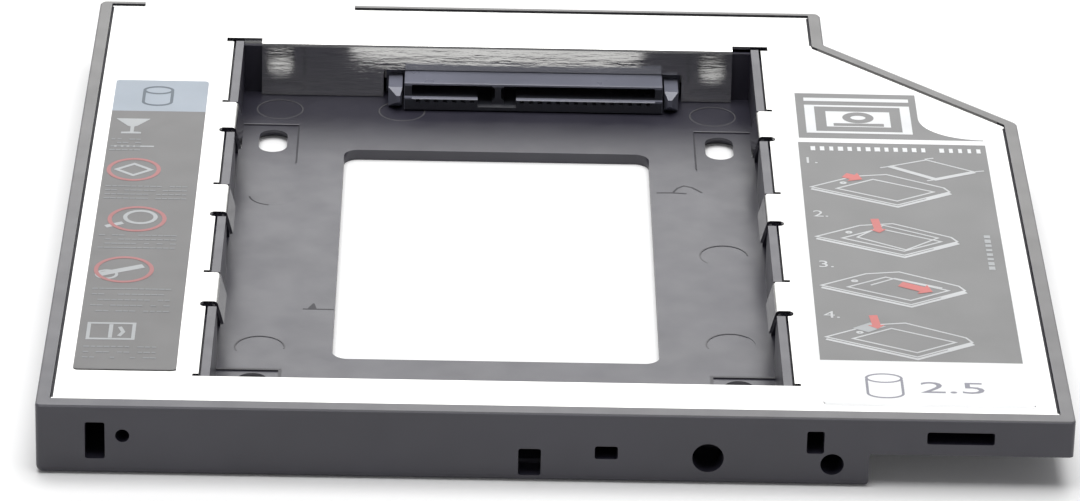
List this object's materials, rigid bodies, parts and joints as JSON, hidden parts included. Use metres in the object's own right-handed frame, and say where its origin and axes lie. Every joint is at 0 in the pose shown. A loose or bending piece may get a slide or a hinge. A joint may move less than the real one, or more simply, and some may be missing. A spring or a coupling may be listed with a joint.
{
  "type": "drive mounting frame",
  "caption": "Slim moulded drive mounting frame with a folded sheet cover, side springs and a rear socket.",
  "frame": {"origin": "middle of the outline on the plane of the underside", "axes": "+Z out of the open drive bay, +Y from the front wall to the rear opening, +X to the wing"},
  "size_m": [0.128, 0.1262, 0.0095],
  "materials": {
    "tray_plastic": "fine texture",
    "cover_sheet": "satin",
    "connector_plastic": "satin",
    "contact_plating": "gold plated",
    "lug_metal": "tinned",
    "screw_metal": "zinc plated",
    "board_laminate": "solder mask",
    "chip_ceramic": "matt",
    "resistor_ceramic": "matt",
    "label_sheet": "satin"
  },
  "bodies": {
    "root": {"base_frame": "tray_plastic", "cover_plate": "cover_sheet", "drive_socket_body": "connector_plastic", "drive_signal_contacts": "contact_plating", "drive_power_contacts": "contact_plating", "drive_socket_lug_left": "lug_metal", "drive_socket_lug_right": "lug_metal", "host_plug_body": "connector_plastic", "host_power_contacts": "contact_plating", "host_signal_contacts": "contact_plating", "host_plug_lug_left": "lug_metal", "host_plug_lug_right": "lug_metal", "adapter_board": "board_laminate", "board_filter_capacitors": "chip_ceramic", "board_ceramic_capacitors": "chip_ceramic", "board_resistors": "resistor_ceramic", "caution_label": "label_sheet", "guide_label": "label_sheet", "board_screw_left": "screw_metal", "board_screw_right": "screw_metal"}
  },
  "joints": []
}
